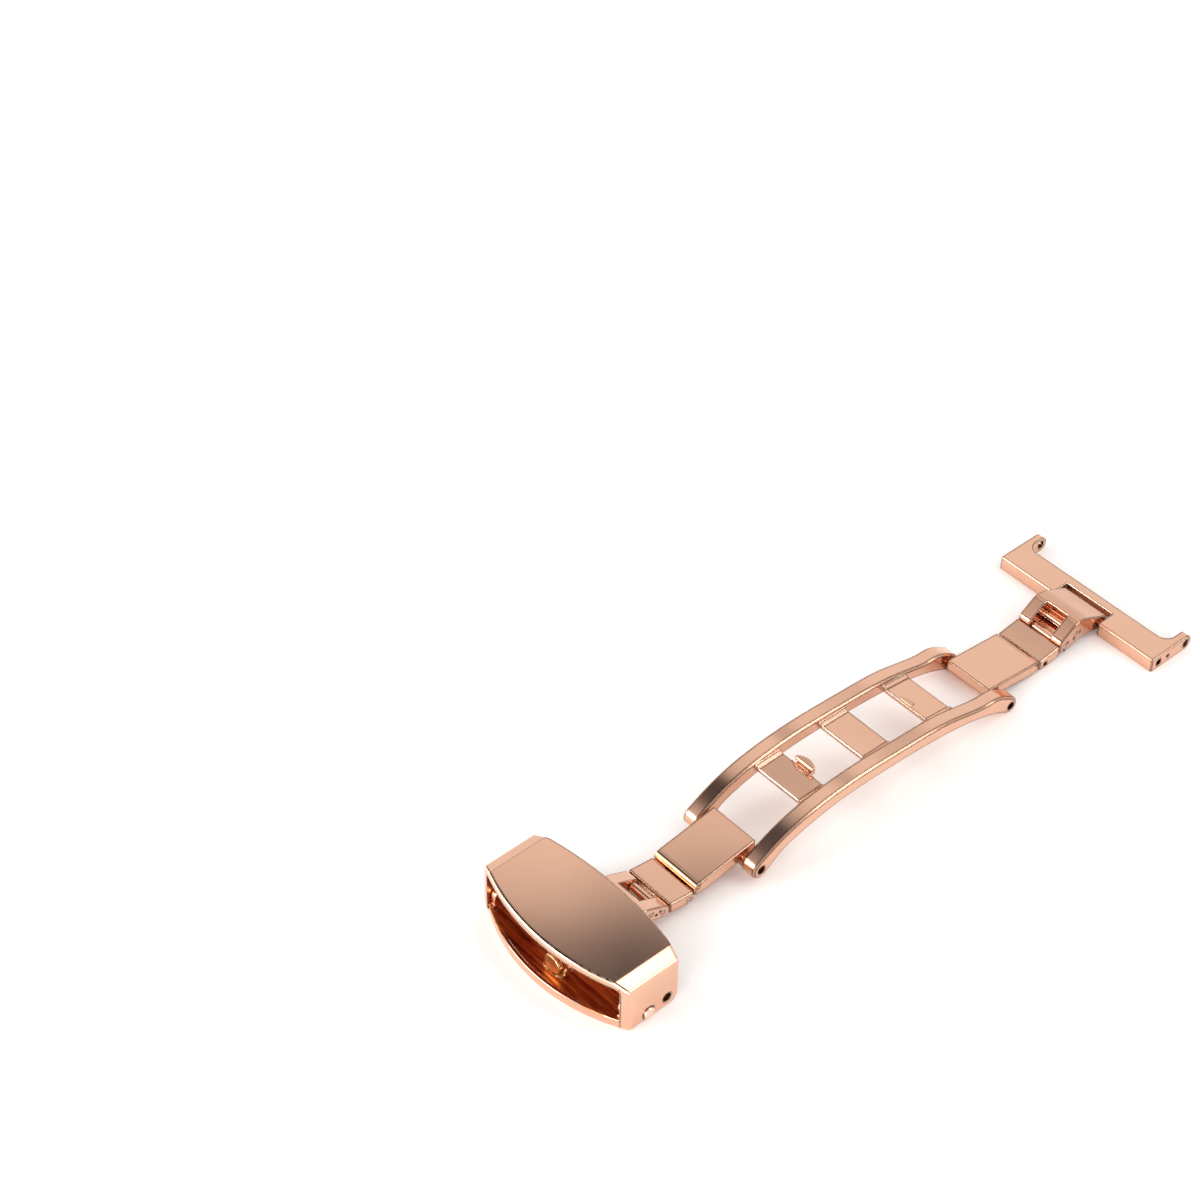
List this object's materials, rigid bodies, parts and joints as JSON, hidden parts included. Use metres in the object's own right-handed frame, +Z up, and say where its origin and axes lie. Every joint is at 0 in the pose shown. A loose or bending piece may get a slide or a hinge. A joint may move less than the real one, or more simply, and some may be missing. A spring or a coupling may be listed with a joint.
{
  "type": "butterfly watch clasp",
  "caption": "Butterfly watch-strap clasp: arched base frame, folding hinged blades, a strap sleeve with a hinged cover at one end and a drilled end bar at the other.",
  "frame": {"origin": "middle of the opened clasp's length and width, on the table plane under it", "axes": "+X from the strap sleeve towards the end bar, +Y across the strap, +Z up, away from the wrist side"},
  "size_m": [0.0845, 0.022, 0.0064],
  "materials": {
    "satin_plate": "satin rose-gold plating",
    "polished_plate": "polished rose-gold plating",
    "pin_steel": "plated pin stock"
  },
  "bodies": {
    "frame": {"base_frame": "polished_plate", "catch_post": "polished_plate", "catch_hook": "polished_plate", "left_frame_pin": "pin_steel", "right_frame_pin": "pin_steel"},
    "left_blade": {"left_blade": "satin_plate"},
    "left_link": {"left_link": "satin_plate", "left_link_pin": "pin_steel"},
    "left_catch": {"left_catch_link": "polished_plate", "left_catch_pin": "pin_steel", "left_latch_bar": "pin_steel"},
    "tray": {"sleeve_tray": "polished_plate", "tray_hinge_pin": "pin_steel", "strap_stud": "polished_plate", "stud_bracket": "satin_plate", "near_hinge_pin": "pin_steel", "far_hinge_pin": "pin_steel"},
    "cover": {"cover_shell": "satin_plate", "near_snap_pin": "pin_steel", "far_snap_pin": "pin_steel"},
    "right_blade": {"right_blade": "satin_plate"},
    "right_link": {"right_link": "satin_plate", "right_link_pin": "pin_steel"},
    "right_catch": {"right_catch_link": "polished_plate", "right_catch_pin": "pin_steel", "right_latch_bar": "pin_steel"},
    "bar": {"t_bar": "satin_plate", "t_bar_pin": "pin_steel"}
  },
  "joints": [
    {"name": "left_fold", "type": "hinge", "parent": "frame", "child": "left_blade", "pos_m": [-0.01675, 0, 0.00185], "axis": [0, 1, 0], "range_deg": [-6, 150]},
    {"name": "left_knuckle", "type": "hinge", "parent": "left_blade", "child": "left_link", "pos_m": [-0.0246, 0, 0.00132], "axis": [0, 1, 0], "range_deg": [-6, 12]},
    {"name": "left_catch_knuckle", "type": "hinge", "parent": "left_link", "child": "left_catch", "pos_m": [-0.028, 0, 0.0021], "axis": [0, 1, 0], "range_deg": [-6, 8]},
    {"name": "sleeve_hinge", "type": "hinge", "parent": "left_catch", "child": "tray", "pos_m": [-0.03435, 0, 0.00137], "axis": [0, 1, 0], "range_deg": [-165, 10]},
    {"name": "cover_open", "type": "hinge", "parent": "tray", "child": "cover", "pos_m": [-0.03443, 0, 0.00133], "axis": [0, 1, 0], "range_deg": [0, 22]},
    {"name": "right_fold", "type": "hinge", "parent": "frame", "child": "right_blade", "pos_m": [0.01986, 0, 0.001], "axis": [0, -1, 0], "range_deg": [-6, 146]},
    {"name": "right_knuckle", "type": "hinge", "parent": "right_blade", "child": "right_link", "pos_m": [0.02775, 0, 0.00062], "axis": [0, -1, 0], "range_deg": [-6, 10]},
    {"name": "right_catch_knuckle", "type": "hinge", "parent": "right_link", "child": "right_catch", "pos_m": [0.03075, 0, 0.00125], "axis": [0, -1, 0], "range_deg": [-6, 4]},
    {"name": "bar_hinge", "type": "hinge", "parent": "right_catch", "child": "bar", "pos_m": [0.037, 0, 0.00087], "axis": [0, -1, 0], "range_deg": [-165, 10]}
  ],
  "couplings": [
    {"joint": "sleeve_hinge", "follows": "left_fold", "ratio": -1.07},
    {"joint": "bar_hinge", "follows": "right_fold", "ratio": -1.07}
  ]
}
